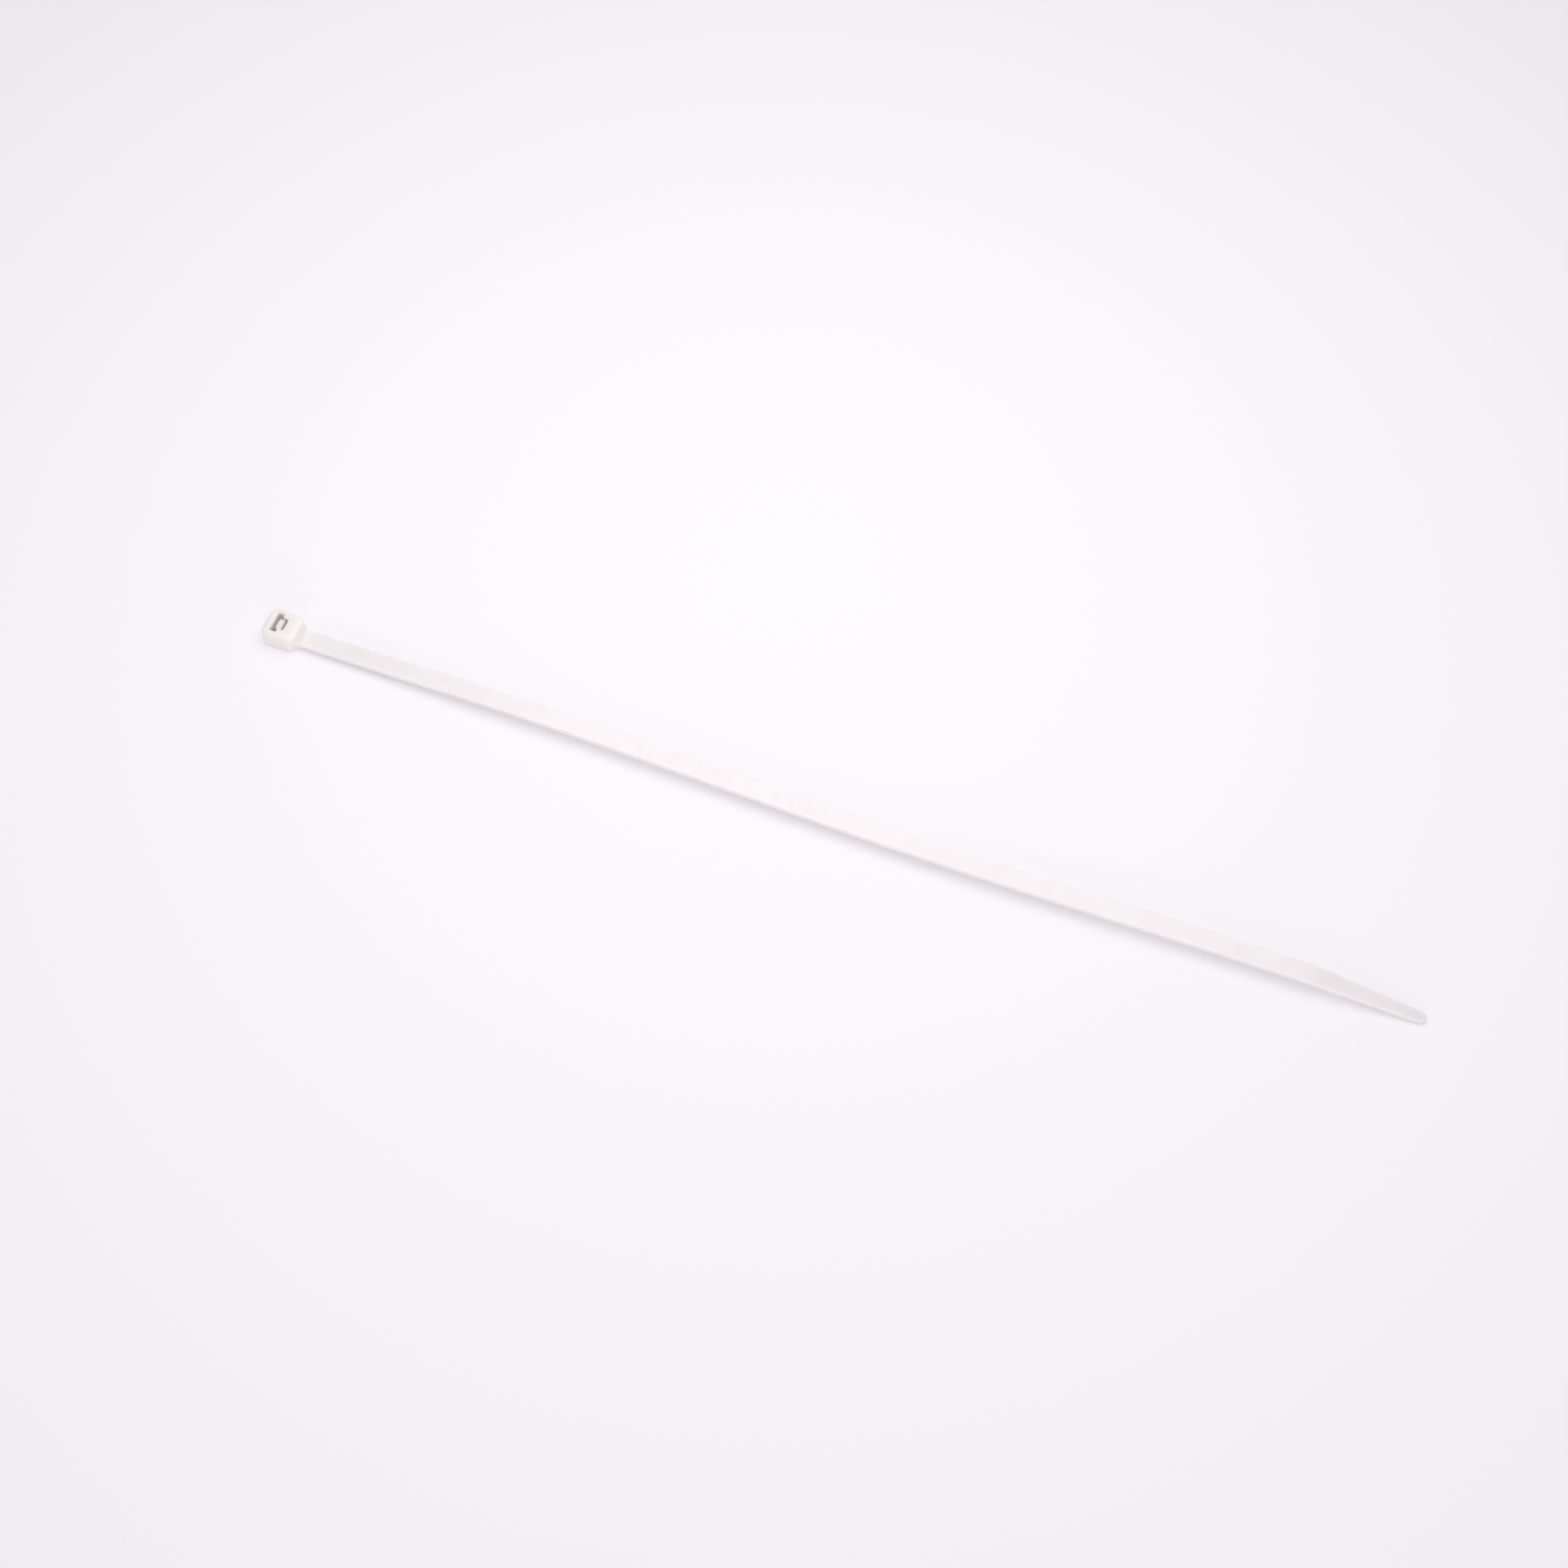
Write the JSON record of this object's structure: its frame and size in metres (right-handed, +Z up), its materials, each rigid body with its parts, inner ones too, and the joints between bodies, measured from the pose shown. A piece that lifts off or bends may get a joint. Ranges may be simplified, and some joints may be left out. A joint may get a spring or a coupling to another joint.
{
  "type": "cable tie",
  "caption": "One-piece nylon cable tie: a flat toothed strap with a tapered tail and a head whose slot and sprung pawl lock the strap once it is pulled through.",
  "frame": {"origin": "on the surface the tie lies on, under the middle of its length and width", "axes": "+X along the strap from the head to the tail, +Y across the strap, +Z up from the surface; the smooth side faces up"},
  "size_m": [0.28, 0.008, 0.005],
  "materials": {
    "nylon": "natural milky nylon, satin as moulded"
  },
  "bodies": {
    "root": {"cable_tie": "nylon"}
  },
  "joints": []
}
